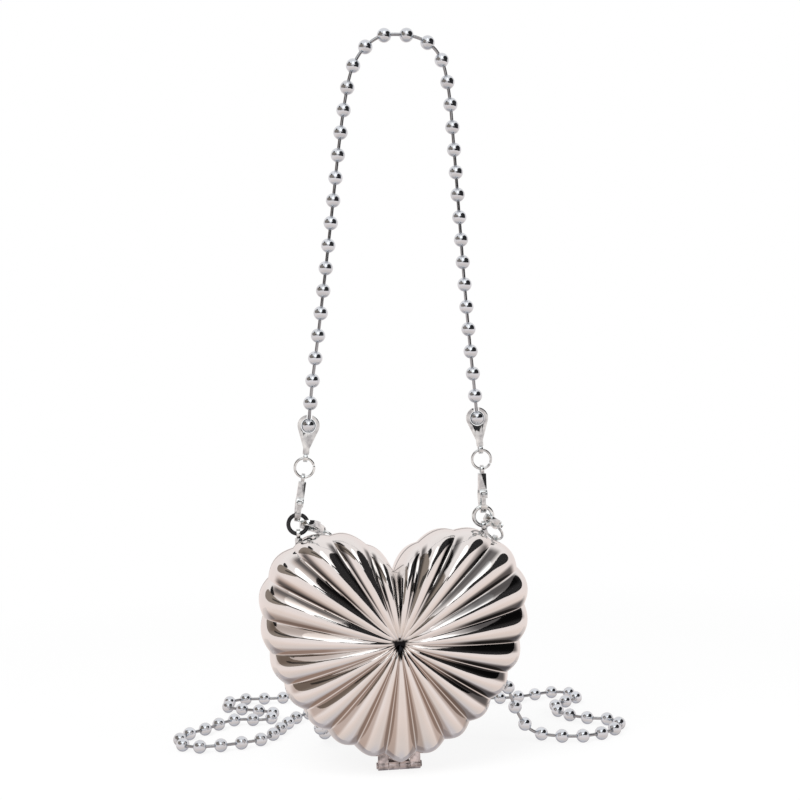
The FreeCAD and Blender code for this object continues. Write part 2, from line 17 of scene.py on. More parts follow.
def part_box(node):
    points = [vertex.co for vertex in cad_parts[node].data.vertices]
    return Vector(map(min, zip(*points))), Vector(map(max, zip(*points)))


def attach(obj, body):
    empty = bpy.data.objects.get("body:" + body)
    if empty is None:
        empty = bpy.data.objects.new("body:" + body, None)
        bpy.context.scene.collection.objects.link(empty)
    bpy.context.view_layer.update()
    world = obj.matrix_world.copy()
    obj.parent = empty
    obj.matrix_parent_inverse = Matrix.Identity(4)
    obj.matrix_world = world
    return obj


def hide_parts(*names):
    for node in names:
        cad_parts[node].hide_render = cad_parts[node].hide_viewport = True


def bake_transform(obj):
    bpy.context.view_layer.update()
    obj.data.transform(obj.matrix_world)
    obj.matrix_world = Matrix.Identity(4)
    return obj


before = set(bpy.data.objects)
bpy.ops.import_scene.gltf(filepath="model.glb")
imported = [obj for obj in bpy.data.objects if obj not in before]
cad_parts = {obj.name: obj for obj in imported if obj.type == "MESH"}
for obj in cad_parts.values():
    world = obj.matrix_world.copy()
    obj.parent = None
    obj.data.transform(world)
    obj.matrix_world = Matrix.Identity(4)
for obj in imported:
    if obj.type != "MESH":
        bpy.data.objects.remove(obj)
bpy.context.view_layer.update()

scene = bpy.context.scene
scene.view_settings.view_transform = "Standard"

# %% [markdown]
# ## Camera
#
# A product photograph is matched most easily when the camera is set first. This one stands a little to the
# viewer's left of the heart and a little above it, and leans by a degree or two. The lens is given as a
# focal length in pixels of a square picture, because that is what a measurement on the photograph yields,
# and Blender's millimetres follow from the sensor's width.

# %% Camera at the photograph's angle
heart_centre = np.array([-0.0094, -0.0022, -0.2916])
camera_distance = 0.650
camera_turn = math.radians(-6.0)
camera_rise = 0.138
camera_aim = heart_centre + np.array([0.0058, 0.0, 0.115])
camera_roll = math.radians(1.7)
focal_pixels = 1340.0
picture_pixels = 800.0
sensor_millimetres = 36.0


def camera_matrix():
    """Camera axes as columns: right, up and back, with the pair right and up turned by the roll."""
    reach = np.array([math.sin(camera_turn), -math.cos(camera_turn), 0.0]) * camera_distance
    eye = heart_centre + reach + np.array([0.0, 0.0, camera_rise])
    back = eye - camera_aim
    back /= np.linalg.norm(back)
    right = np.cross([0.0, 0.0, 1.0], back)
    right /= np.linalg.norm(right)
    up = np.cross(back, right)
    rolled_right = right * math.cos(camera_roll) - up * math.sin(camera_roll)
    rolled_up = right * math.sin(camera_roll) + up * math.cos(camera_roll)
    matrix = np.eye(4)
    matrix[:3] = np.stack([rolled_right, rolled_up, back, eye], axis=1)
    return Matrix(matrix.tolist())


camera_data = bpy.data.cameras.new("camera")
camera_data.sensor_width = sensor_millimetres
camera_data.lens = focal_pixels / picture_pixels * sensor_millimetres
camera = bpy.data.objects.new("camera", camera_data)
camera.matrix_world = camera_matrix()
scene.collection.objects.link(camera)
scene.camera = camera
print("camera lens", round(camera_data.lens, 1), "mm")

# %% [markdown]
# ## Meshes from grids
#
# Every new piece here is a grid of points bent into shape: a ring is a circle carried round a circle, a
# ball is a profile turned about a line, a shell is a set of rails side by side. In each grid the rows are
# closed rings, so one helper makes the faces between the rings, shuts both ends with a fan and turns all
# faces outwards by the sign of the volume that they enclose. Whole arrays keep this short, and no loop
# visits single vertices.

# %% Helpers for grids
smooth_limit = math.radians(42.0)


def unit(vectors):
    """Vectors along the last axis at length one."""
    return vectors / np.linalg.norm(vectors, axis=-1, keepdims=True)


def grid_quads(rows, columns, closed):
    """Quads between points numbered row by row; a closed grid joins each row's end to its start."""
    index = np.arange(rows * columns).reshape(rows, columns)
    if closed:
        index = np.hstack([index, index[:, :1]])
    corners = [index[:-1, :-1], index[:-1, 1:], index[1:, 1:], index[1:, :-1]]
    return np.stack(corners, axis=-1).reshape(-1, 4)


def fan(pole, ring):
    """Triangles from one pole vertex to each edge of a closed ring of vertices."""
    return np.stack([np.full_like(ring, pole), ring, np.roll(ring, -1)], axis=-1)


def turned_outward(points, quads, triangles):
    """Both kinds of face, turned round if the volume under them, summed over triangles, is negative."""
    parts = np.vstack([quads[:, [0, 1, 2]], quads[:, [0, 2, 3]], triangles])
    first, second, third = points[parts[:, 0]], points[parts[:, 1]], points[parts[:, 2]]
    volume = np.einsum("ij,ij->i", first, np.cross(second, third)).sum()
    if volume < 0:
        return quads[:, ::-1], triangles[:, ::-1]
    return quads, triangles


def closed_tube(grid):
    """Points, quads and triangles of a grid whose rows are rings, both ends shut by a fan to their middle."""
    rows, columns = grid.shape[:2]
    points = np.vstack([grid.reshape(-1, 3), grid[0].mean(axis=0), grid[-1].mean(axis=0)])
    ring = np.arange(columns)
    poles = rows * columns
    triangles = np.vstack([fan(poles, ring)[:, ::-1], fan(poles + 1, ring + (rows - 1) * columns)])
    return points, *turned_outward(points, grid_quads(rows, columns, True), triangles)


def add_piece(name, points, quads, triangles, material):
    """Mesh object at the origin, smooth but for edges that turn by more than the limit."""
    mesh = bpy.data.meshes.new(name)
    mesh.from_pydata(points.tolist(), [], quads.tolist() + triangles.tolist())
    mesh.shade_smooth()
    mesh.set_sharp_from_angle(angle=smooth_limit)
    mesh.materials.append(material)
    piece = bpy.data.objects.new(name, mesh)
    scene.collection.objects.link(piece)
    print("made", name, "with", len(mesh.vertices), "points")
    return piece


print("a closed grid of 3 rings of 4 points has", len(grid_quads(3, 4, True)), "quads")

# %% [markdown]
# ## Nodes for the materials
#
# Materials and node groups are trees of linked nodes, and the same few nodes come back in each: a noise, a
# change of range, a mix of two colours, and a product or the larger of two values. A helper makes each of
# them and hands back the socket that comes out, so that a material reads like a formula. Where a helper
# takes a value, a socket will do as well.

# %% Helpers for nodes
noise_low = 0.3
noise_high = 0.7


def feed(tree, value, socket):
    """Links a socket into another one, or writes a plain value there."""
    if isinstance(value, bpy.types.NodeSocket):
        tree.links.new(value, socket)
    else:
        socket.default_value = value


def noise_node(tree, vector, scale, detail):
    """Noise from zero to one at a vector."""
    node = tree.nodes.new("ShaderNodeTexNoise")
    feed(tree, vector, node.inputs["Vector"])
    feed(tree, scale, node.inputs["Scale"])
    feed(tree, detail, node.inputs["Detail"])
    return node.outputs["Fac"]


def range_node(tree, noise, low, high):
    """The middle of a noise's range, spread from a low to a high value."""
    node = tree.nodes.new("ShaderNodeMapRange")
    for name, value in (("Value", noise), ("From Min", noise_low), ("From Max", noise_high),
                        ("To Min", low), ("To Max", high)):
        feed(tree, value, node.inputs[name])
    return node.outputs["Result"]


def mix_colour_node(tree, factor, first, second):
    """Colour between a first and a second one, by a factor."""
    node = tree.nodes.new("ShaderNodeMix")
    node.data_type = "RGBA"
    for name, value in (("Factor", factor), ("A", first), ("B", second)):
        feed(tree, value, node.inputs[name])
    return node.outputs["Result"]


def math_node(tree, operation, first, second):
    """Result of an operation of the Math node on two values."""
    node = tree.nodes.new("ShaderNodeMath")
    node.operation = operation
    feed(tree, first, node.inputs[0])
    feed(tree, second, node.inputs[1])
    return node.outputs["Value"]


def group_sockets(group, way, kind, *names):
    """Adds named sockets of one kind to a node group's interface."""
    for name in names:
        group.interface.new_socket(name=name, in_out=way, socket_type="NodeSocket" + kind)


print("noise is spread from", noise_low, "to", noise_high)

# %% [markdown]
# ## Shared finish: plated polish
#
# Plated and polished metal is never quite even. Handling leaves faint cloudy patches, and the polishing
# wheel leaves waves that are too shallow to see but bend a reflection. On the clasps and the hinge the
# patches, fine and far apart in tone, are a painted reflection of the room rather than handling. A node
# group holds patches and waves, so that shells, chains, clasps and magnets each place it with their own
# values. It puts out a colour, a roughness and a height, and the Principled shader stays in each material.

# %% Plated polish group
patch_detail = 4.0
wave_scale = 160.0
wave_detail = 1.0


def plated_polish_group():
    """Cloudy patches mix two colours and two roughnesses, and a second noise gives the polishing waves."""
    group = bpy.data.node_groups.new("plated_polish", "ShaderNodeTree")
    group_sockets(group, "INPUT", "Vector", "Vector")
    group_sockets(group, "INPUT", "Color", "Clean Color", "Wear And Reflection Color")
    group_sockets(group, "INPUT", "Float", "Patch Scale", "Clean Roughness", "Handled Roughness")
    group_sockets(group, "OUTPUT", "Color", "Color")
    group_sockets(group, "OUTPUT", "Float", "Roughness", "Height")
    inside = group.nodes.new("NodeGroupInput").outputs
    outside = group.nodes.new("NodeGroupOutput").inputs
    patches = noise_node(group, inside["Vector"], inside["Patch Scale"], patch_detail)
    waves = noise_node(group, inside["Vector"], wave_scale, wave_detail)
    wear_and_reflection = range_node(group, patches, 0.0, 1.0)
    colour = mix_colour_node(group, wear_and_reflection, inside["Clean Color"], inside["Wear And Reflection Color"])
    rough = range_node(group, patches, inside["Clean Roughness"], inside["Handled Roughness"])
    group.links.new(colour, outside["Color"])
    group.links.new(rough, outside["Roughness"])
    group.links.new(waves, outside["Height"])
    return group


plated_polish = plated_polish_group()
print("group", plated_polish.name, "has", len(plated_polish.nodes), "nodes")

# %% [markdown]
# ## Metal finishes
#
# All the metals are a Principled shader with the polish group before it, and all but the lacquer have
# Metallic at one. What tells them apart is colour, roughness and the size of the patches. The shells are an
# almost neutral pale plating. The balls are a cooler one, and the wire between them is darker. Clasps and
# hinge are small castings that mirror the room in broken bits, so their patches are fine and far apart in
# tone: a painted reflection in the colour. The hinge's darker tones also paint the shaded floor that it
# mirrors. The hidden magnets are dull steel, and the left lug ring is black lacquer.

# %% Metals
broad_patches = 70.0
fine_patches = 330.0


def plain_material(name):
    """Material with its node tree, its Principled shader and its Object coordinates."""
    material = bpy.data.materials.new(name)
    material.use_nodes = True
    tree = material.node_tree
    coordinates = tree.nodes.new("ShaderNodeTexCoord")
    return material, tree, tree.nodes["Principled BSDF"], coordinates.outputs["Object"]


def bump_into(tree, height, shader, depth):
    """Bump node from a height socket into the shader's normal."""
    bump = tree.nodes.new("ShaderNodeBump")
    bump.inputs["Strength"].default_value = 1.0
    bump.inputs["Distance"].default_value = depth
    tree.links.new(height, bump.inputs["Height"])
    tree.links.new(bump.outputs["Normal"], shader.inputs["Normal"])


def plated_metal(name, clean, wear_and_reflection, roughness, wave_depth, patch_scale=broad_patches):
    """Metal with the polish group on colour, roughness and bump; roughness is a clean and a patch value."""
    material, tree, shader, place = plain_material(name)
    polish = tree.nodes.new("ShaderNodeGroup")
    polish.node_tree = plated_polish
    for socket, value in (("Vector", place), ("Patch Scale", patch_scale),
                          ("Clean Color", (*clean, 1.0)), ("Wear And Reflection Color", (*wear_and_reflection, 1.0)),
                          ("Clean Roughness", roughness[0]), ("Handled Roughness", roughness[1])):
        feed(tree, value, polish.inputs[socket])
    tree.links.new(polish.outputs["Color"], shader.inputs["Base Color"])
    tree.links.new(polish.outputs["Roughness"], shader.inputs["Roughness"])
    shader.inputs["Metallic"].default_value = 1.0
    bump_into(tree, polish.outputs["Height"], shader, wave_depth)
    return material


shell_silver = plated_metal("shell_silver", clean=(0.90, 0.88, 0.87), wear_and_reflection=(0.87, 0.85, 0.83),
                            roughness=(0.04, 0.09), wave_depth=0.00006)
chain_silver = plated_metal("chain_silver", clean=(0.78, 0.84, 0.90), wear_and_reflection=(0.66, 0.70, 0.74),
                            roughness=(0.05, 0.12), wave_depth=0.00004)
wire_silver = plated_metal("wire_silver", clean=(0.44, 0.46, 0.48), wear_and_reflection=(0.34, 0.35, 0.37),
                           roughness=(0.10, 0.20), wave_depth=0.00003)
# Painted reflection: on clasps and hinge the fine, far apart patches mirror the room in broken bits, and the
# hinge's darker tones stand for the shaded floor that it mirrors.
clasp_silver = plated_metal("clasp_silver", clean=(0.95, 1.0, 1.0), wear_and_reflection=(0.46, 0.48, 0.50),
                            roughness=(0.05, 0.14), wave_depth=0.00005, patch_scale=fine_patches)
hinge_silver = plated_metal("hinge_silver", clean=(0.72, 0.66, 0.66), wear_and_reflection=(0.17, 0.155, 0.155),
                            roughness=(0.08, 0.20), wave_depth=0.00005, patch_scale=fine_patches)
magnet_steel = plated_metal("magnet_steel", clean=(0.52, 0.52, 0.53), wear_and_reflection=(0.42, 0.42, 0.43),
                            roughness=(0.28, 0.42), wave_depth=0.00002)
black_lacquer = plated_metal("black_lacquer", clean=(0.012, 0.012, 0.013), wear_and_reflection=(0.03, 0.03, 0.032),
                             roughness=(0.28, 0.42), wave_depth=0.00005)
lacquer_shader = black_lacquer.node_tree.nodes["Principled BSDF"]
lacquer_shader.inputs["Metallic"].default_value = 0.0
lacquer_shader.inputs["Specular IOR Level"].default_value = 0.2
print("metals", [metal.name for metal in (shell_silver, chain_silver, wire_silver, clasp_silver, hinge_silver,
                                          magnet_steel, black_lacquer)])

# %% [markdown]
# ## Lining cloth
#
# Inside each half a thin cloth is glued to the metal. It is a plain weave, so two sets of waves at right
# angles, one for the warp and one for the weft, take turns to lie on top. The product of two sine waves has
# just that chequered rhythm, and it drives bump and colour together: the low gaps between the threads get
# a painted shade.

# %% Lining material
thread_scale = 420.0
weave_depth = 0.0003


def weave_group():
    """Product of two sine bands at right angles as weave height, and a colour with painted shade in gaps."""
    group = bpy.data.node_groups.new("plain_weave", "ShaderNodeTree")
    group_sockets(group, "INPUT", "Vector", "Vector")
    group_sockets(group, "INPUT", "Color", "Thread Color", "Gap Shade Color")
    group_sockets(group, "OUTPUT", "Color", "Color")
    group_sockets(group, "OUTPUT", "Float", "Height")
    inside = group.nodes.new("NodeGroupInput").outputs
    outside = group.nodes.new("NodeGroupOutput").inputs
    bands = []
    for direction in ("X", "Z"):
        wave = group.nodes.new("ShaderNodeTexWave")
        wave.bands_direction = direction
        wave.inputs["Scale"].default_value = thread_scale
        wave.inputs["Distortion"].default_value = 0.6
        wave.inputs["Detail"].default_value = 1.0
        group.links.new(inside["Vector"], wave.inputs["Vector"])
        bands.append(wave.outputs["Fac"])
    height = math_node(group, "MULTIPLY", *bands)
    colour = mix_colour_node(group, height, inside["Gap Shade Color"], inside["Thread Color"])
    group.links.new(colour, outside["Color"])
    group.links.new(height, outside["Height"])
    return group


def lining_material():
    """Soft dark cloth with its weave in bump, and in colour with a painted shade in the gaps."""
    material, tree, shader, place = plain_material("lining_cloth")
    weave = tree.nodes.new("ShaderNodeGroup")
    weave.node_tree = weave_group()
    weave.inputs["Thread Color"].default_value = (0.07, 0.068, 0.07, 1.0)
    # Painted shade: the darker gap colour stands for the shade between the threads.
    weave.inputs["Gap Shade Color"].default_value = (0.018, 0.017, 0.018, 1.0)
    tree.links.new(place, weave.inputs["Vector"])
    tree.links.new(weave.outputs["Color"], shader.inputs["Base Color"])
    shader.inputs["Roughness"].default_value = 0.88
    shader.inputs["Sheen Weight"].default_value = 0.35
    bump_into(tree, weave.outputs["Height"], shader, weave_depth)
    return material


lining_cloth = lining_material()
print("cloth", lining_cloth.name)

# %% [markdown]
# ## Ball chains
#
# A ball chain is a row of hollow balls with short wires between them, so it bends like a cord. The handle
# hangs between its two connectors. The strap drops behind the heart, lies on the floor in loose curves and
# climbs back. Each line is a NURBS spline with the route's points as control points, and its points are
# read back from Blender, so that wire and balls follow one and the same line.

# %% Routes of the chains
floor_rest = -0.35407
handle_route = np.array([
    (-0.048234, 0, -0.187614), (-0.0464, 0, -0.170), (-0.0426, 0, -0.147), (-0.0384, 0, -0.118),
    (-0.0338, 0, -0.086), (-0.0298, 0, -0.056), (-0.0262, 0, -0.033), (-0.0215, 0, -0.0125),
    (-0.010, 0, -0.0006), (0.002, 0, 0.0004), (0.0135, 0, -0.002), (0.022, 0, -0.010), (0.0253, 0, -0.027),
    (0.0266, 0, -0.052), (0.0282, 0, -0.084), (0.0298, 0, -0.117), (0.0316, 0, -0.147), (0.0334, 0, -0.170),
    (0.034454, 0, -0.186756)])
strap_right_drop = np.array([
    (0.044851, 0.027933, -0.264623), (0.0441, 0.0332, -0.2786), (0.0450, 0.0330, -0.2930),
    (0.0474, 0.0302, -0.3080), (0.0504, 0.0274, -0.3250), (0.0554, 0.0274, -0.3406),
    (0.0616, 0.0286, -0.3506)])
strap_floor_run = np.array([
    (0.0686, 0.0297), (0.0786, 0.0237), (0.0896, 0.0217), (0.1006, 0.0247), (0.1096, 0.0317),
    (0.1146, 0.0417), (0.1106, 0.0507), (0.1006, 0.0537), (0.0916, 0.0617), (0.0866, 0.0727),
    (0.0886, 0.0847), (0.0966, 0.0907), (0.1036, 0.0947), (0.1056, 0.1037), (0.0996, 0.1117),
    (0.0906, 0.1127), (0.0786, 0.1077), (0.0626, 0.1047), (0.0406, 0.1127), (0.0156, 0.1267),
    (-0.0094, 0.1357), (-0.0374, 0.1387), (-0.0614, 0.1347), (-0.0754, 0.1357), (-0.0874, 0.1377),
    (-0.0964, 0.1297), (-0.0934, 0.1187), (-0.0804, 0.1117), (-0.0694, 0.1057), (-0.0664, 0.0947),
    (-0.0754, 0.0887), (-0.0864, 0.0947), (-0.0954, 0.0907), (-0.1044, 0.0787), (-0.1154, 0.0707),
    (-0.1204, 0.0567), (-0.1134, 0.0457), (-0.1004, 0.0447), (-0.0854, 0.0477), (-0.0724, 0.0527),
    (-0.0634, 0.0747), (-0.0554, 0.0927), (-0.0464, 0.0997), (-0.0374, 0.0927), (-0.0364, 0.0767),
    (-0.0404, 0.0587)])
strap_left_drop = np.array([
    (-0.0444, 0.0452, -0.3511), (-0.0464, 0.0382, -0.3416), (-0.0472, 0.0344, -0.3250),
    (-0.0472, 0.0336, -0.3070), (-0.0463, 0.0338, -0.2920), (-0.0445, 0.0320, -0.2773),
    (-0.043021, 0.025718, -0.263738)])
strap_floor = np.column_stack([strap_floor_run, np.full(len(strap_floor_run), floor_rest)])
strap_route = np.vstack([strap_right_drop, strap_floor, strap_left_drop])
print("routes of", len(handle_route), "and", len(strap_route), "points")

# %% Smooth line of a route
points_per_span = 8


def mesh_points(mesh):
    """Points of a mesh as an array."""
    points = np.empty(len(mesh.vertices) * 3)
    mesh.vertices.foreach_get("co", points)
    return points.reshape(-1, 3)


def route_line(name, route):
    """Points of the NURBS spline of order three whose control points are the route's points."""
    curve = bpy.data.curves.new(name, "CURVE")
    curve.dimensions = "3D"
    curve.resolution_u = points_per_span
    spline = curve.splines.new("NURBS")
    spline.points.add(len(route) - 1)
    spline.points.foreach_set("co", np.column_stack([route, np.ones(len(route))]).ravel())
    spline.order_u = 3
    spline.use_endpoint_u = True
    carrier = bpy.data.objects.new(name, curve)
    line = bpy.data.meshes.new_from_object(carrier)
    points = mesh_points(line)
    bpy.data.objects.remove(carrier)
    bpy.data.curves.remove(curve)
    bpy.data.meshes.remove(line)
    return points


def line_length(points):
    """Length along a line of points, from its start to each point."""
    return np.concatenate([[0.0], np.cumsum(np.linalg.norm(np.diff(points, axis=0), axis=1))])


handle_line = route_line("handle_line", handle_route)
strap_line = route_line("strap_line", strap_route)

# %% [markdown]
# ### Wire
#
# On the real chain a short wire with two heads joins each pair of balls. The heads are inside, so one wire
# straight through all the balls looks the same and bends as one cord. A curve with a round bevel could make
# it. Here a circle is carried along the line as a grid, which also closes its ends. The circle's two
# directions are handed on from point to point, because directions worked out afresh would flip where the
# strap hangs straight down.

# %% Wire of a chain
wire_radius = 0.0008
wire_sides = 10
upright_limit = 0.02


def turn_steps(count):
    """Angles of equal steps round a full turn."""
    return np.linspace(0.0, 2.0 * math.pi, count, endpoint=False)


def side_frames(ways):
    """Two unit directions square to each way: one level with the floor or, for an upright way, along Y."""
    level = np.cross(ways, [0.0, 0.0, 1.0])
    upright = np.linalg.norm(level, axis=1, keepdims=True) < upright_limit
    level = np.where(upright, np.array([0.0, 1.0, 0.0]), level)
    first = unit(level - ways * np.einsum("ij,ij->i", level, ways)[:, None])
    return first, np.cross(ways, first)


def transported_frames(ways):
    """Two directions square to each way of a line, handed from one point of it to the next with no twist."""
    first = [side_frames(ways[:1])[0][0]]
    for way in ways[1:]:
        first.append(unit(first[-1] - way * np.dot(first[-1], way)))
    return np.array(first), np.cross(ways, first)


def round_wire(line):
    """Circle of the wire's radius carried along a line."""
    first, second = transported_frames(unit(np.gradient(line, axis=0)))
    turn = turn_steps(wire_sides)[:, None]
    circle = first[:, None] * np.cos(turn) + second[:, None] * np.sin(turn)
    return closed_tube(line[:, None] + wire_radius * circle)


handle_wire = add_piece("handle_chain_wire", *round_wire(handle_line), wire_silver)
strap_wire = add_piece("strap_chain_wire", *round_wire(strap_line), wire_silver)

# %% [markdown]
# ### Balls
#
# A ball is rolled from thin strip, with a small mouth at both ends where the wire comes out. Its profile is
# an arc that turns in at each mouth, carried round the ball's own axis. All balls are alike, so one is
# worked out and then set down at equal steps of length along the line, by one product of arrays. An array
# modifier along a curve could do it too, but it would stretch the balls in tight bends.

# %% Balls of a chain
ball_radius = 0.0035
ball_pitch = 0.0108
ball_sides = 24
ball_bands = 13
mouth_radius = 0.0011
mouth_depth = 0.0003


def ball_blank():
    """One ball about its own axis: a circle arc from mouth to mouth, turned in at both mouths."""
    mouth = math.asin(mouth_radius / ball_radius)
    swing = np.linspace(mouth, math.pi - mouth, ball_bands)
    edge = ball_radius * math.cos(mouth)
    radii = np.concatenate([[wire_radius], ball_radius * np.sin(swing), [wire_radius]])
    heights = np.concatenate([[edge - mouth_depth], ball_radius * np.cos(swing), [mouth_depth - edge]])
    turn = turn_steps(ball_sides)
    circle = np.stack([np.cos(turn), np.sin(turn), np.zeros(ball_sides)], axis=-1)
    grid = radii[:, None, None] * circle + heights[:, None, None] * np.array([0.0, 0.0, 1.0])
    return closed_tube(grid)


def chain_balls(line):
    """Balls at equal steps along a line, each with its axis along the chain."""
    along = line_length(line)
    places = np.linspace(0.0, along[-1], round(along[-1] / ball_pitch) + 1)
    centres = np.stack([np.interp(places, along, line[:, axis]) for axis in range(3)], axis=-1)
    ways = unit(np.gradient(centres, axis=0))
    axes = np.stack([*side_frames(ways), ways], axis=1)
    blank, quads, triangles = ball_blank()
    points = centres[:, None] + np.einsum("pk,nkj->npj", blank, axes)
    first_point = len(blank) * np.arange(len(places))[:, None, None]
    quads, triangles = quads + first_point, triangles + first_point
    return points.reshape(-1, 3), quads.reshape(-1, 4), triangles.reshape(-1, 3)


handle_balls = add_piece("handle_chain_ball_row", *chain_balls(handle_line), chain_silver)
strap_balls = add_piece("strap_chain_ball_row", *chain_balls(strap_line), chain_silver)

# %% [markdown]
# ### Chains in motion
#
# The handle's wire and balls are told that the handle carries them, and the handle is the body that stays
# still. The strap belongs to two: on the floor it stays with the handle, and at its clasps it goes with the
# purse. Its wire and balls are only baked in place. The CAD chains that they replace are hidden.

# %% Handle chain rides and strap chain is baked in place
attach(handle_wire, "handle")
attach(handle_balls, "handle")
for piece in (strap_wire, strap_balls):
    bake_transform(piece)
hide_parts("handle_chain_links")
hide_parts("handle_chain_balls")
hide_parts("strap_chain_links")
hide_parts("strap_chain_balls")

# %% [markdown]
# ## Heart shells
#
# The heart's outline is drawn with a compass: two circles make the lobes and two larger ones the sides. The
# pleats run along rays from the centre, so the outline is wanted as a distance for each angle, and that is
# where a ray crosses a circle for the last time.

# %% Outline of the heart
lobe_radius = 0.035
lobe_offset = 0.031
lobe_height = 0.017
side_radius = 0.079
degrees_in_turn = 360


def heart_reach(angle):
    """Distance from centre to outline at an angle from +Z: the far crossing of a ray with a lobe or side."""
    across = np.abs(np.sin(angle))
    up = np.cos(angle)

    def far_crossing(offset, radius):
        """Far crossing with a circle whose centre is at the lobes' height, and what is under its root."""
        along = offset * across + lobe_height * up
        rest = along ** 2 - offset ** 2 - lobe_height ** 2 + radius ** 2
        return along + np.sqrt(np.maximum(rest, 0.0)), rest

    lobe, lobe_rest = far_crossing(lobe_offset, lobe_radius)
    side, _ = far_crossing(lobe_offset + lobe_radius - side_radius, side_radius)
    on_lobe = (lobe_rest > 0.0) & (up > 0.0) & (lobe * up >= lobe_height)
    return np.where(on_lobe, lobe, side)


outline = heart_reach(turn_steps(degrees_in_turn))
print("heart reach from", round(outline.min(), 4), "to", round(outline.max(), 4), "m")

# %% [markdown]
# ### Rails
#
# Each half is pressed from sheet. Its pleats all start at the pinched centre and widen towards the rim,
# where they roll over into scallops. Seen along one pleat the form is a rail, a smooth curve from the
# centre to the rim, and seen across the pleats it is a row of rounded ridges with creases between them. So
# the surface is a function of two parameters: how far along the rail, and the angle round the heart. A
# B-spline with six poles gives the rail, and its poles slide between a ridge and a crease profile as the
# angle goes round. The creases are a little shallower than the solid's valleys, as press tools round them.

# %% Rails of the pleats
pleat_count = 23
columns_per_pleat = 16
shell_depth = 0.024
scallop_depth = 0.002
dimple_radius = 0.0025
rim_gap = 0.00015
rim_width = 0.0032
wall = 0.002
crease_share = 0.62
ridge_shares = np.array([(0, 0.84), (0.10, 1.0), (0.45, 0.98), (0.85, 0.80), (1.0, 0.52), (1.0, 0)])
valley_shares = np.array([(0, 0.84), (0.10, 0.95), (0.45, 0.82), (0.85, 0.54), (1.0, 0.30), (1.0, 0)])
crease_shares = ridge_shares + crease_share * (valley_shares - ridge_shares)
rail_degree = 3
last_step = 1.0 - 1e-9


def rail_weights(steps, pole_count):
    """Weights of the poles of a clamped B-spline at each step from 0 to 1, raised degree by degree."""
    spans = pole_count - rail_degree
    knots = np.concatenate([np.zeros(rail_degree), np.arange(spans + 1), np.full(rail_degree, spans)])
    place = (np.minimum(steps, last_step) * spans)[:, None]
    weights = ((knots[:-1] <= place) & (place < knots[1:])).astype(float)
    for level in range(1, rail_degree + 1):
        rise_span = knots[level:-1] - knots[:-level - 1]
        fall_span = knots[level + 1:] - knots[1:-level]
        rise = (place - knots[:-level - 1]) / np.where(rise_span > 0, rise_span, 1.0)
        fall = (knots[level + 1:] - place) / np.where(fall_span > 0, fall_span, 1.0)
        weights = rise * weights[:, :-1] + fall * weights[:, 1:]
    return weights


def rails(poles, rows):
    """Rows of points along the B-splines of a grid of poles, one spline for each column."""
    return np.einsum("rp,pcx->rcx", rail_weights(np.linspace(0.0, 1.0, rows), len(poles)), poles)


def pleat_columns():
    """Angle and crest of each column: cosine steps crowd the creases, and the crest is a half sine."""
    step = (1.0 - np.cos(math.pi * np.arange(columns_per_pleat) / columns_per_pleat)) / 2.0
    angle = (np.arange(pleat_count)[:, None] + step) * 2.0 * math.pi / pleat_count
    return angle.ravel(), np.tile(np.sin(math.pi * step), pleat_count)


def heart_points(angle, radius, depth):
    """Points at an angle and radius about the heart's centre, a depth in front of the parting plane."""
    angle, radius, depth = np.broadcast_arrays(angle, radius, depth)
    return np.stack([radius * np.sin(angle), -depth, radius * np.cos(angle)], axis=-1)


def outer_rails(angle, crest, rows):
    """Rows of the pleated skin: rails whose poles lie between the crease and ridge profile by the crest."""
    shares = crease_shares[:, None] + crest[:, None] * (ridge_shares - crease_shares)[:, None]
    reach = heart_reach(angle) - scallop_depth * (1.0 - crest)
    radius = dimple_radius + shares[..., 0] * (reach - dimple_radius)
    return rails(heart_points(angle, radius, rim_gap + shares[..., 1] * shell_depth), rows)


def dome_rails(angle, inset, edge, rows):
    """Rows of a smooth dome the wall and an inset inside the valleys, from its centre to its edge."""
    out, deep = valley_shares[:, :1], valley_shares[:, 1:]
    reach = heart_reach(angle) - scallop_depth - rim_width - inset
    depth = np.where(deep > 0, rim_gap + deep * shell_depth - wall - inset, rim_gap + edge)
    return rails(heart_points(angle, dimple_radius + out * (reach - dimple_radius), depth), rows)


print("pleats", pleat_count, "with", columns_per_pleat, "columns each")

# %% [markdown]
# ### Half shells
#
# A shell has an outside and an inside, and one closed grid can be both. It starts in the pinch at the
# middle, goes out along the pleats, crosses the flat land of the rim and comes back along the smooth
# inside. A Solidify modifier would give the wall too, but it would print the pleats on the inside, where
# the cloth is. The back half is the front one mirrored.

# %% Half shells
skin_rows = 56
dome_rows = 26
land_share = 0.999
pinch_shares = np.array([(0.02, 0.785), (0.45, 0.80)])


def placed_half(grid, side):
    """Grid about the heart's centre moved to its place, in front for a side of 1, mirrored for one of -1."""
    return heart_centre + grid * np.array([1.0, side, 1.0])


def half_shell(side):
    """Closed grid: out of the pinch, along the pleats, over the rim and back in along the smooth dome."""
    angle, crest = pleat_columns()
    pinch_depth = rim_gap + shell_depth * pinch_shares[:, 1:]
    pinch = heart_points(angle, dimple_radius * pinch_shares[:, :1], pinch_depth)
    skin = outer_rails(angle, crest, skin_rows)
    land = skin[-1:] * np.array([land_share, 1.0, land_share])
    dome = dome_rails(angle, 0.0, 0.0, dome_rows)[::-1]
    return closed_tube(placed_half(np.vstack([pinch, skin, land, dome]), side))


shells = [add_piece("front_pleated_shell", *half_shell(1.0), shell_silver),
          add_piece("back_pleated_shell", *half_shell(-1.0), shell_silver)]
for shell, body, node in zip(shells, ("lid", "purse"), ("front_shell", "back_shell")):
    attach(shell, body)
    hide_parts(node)

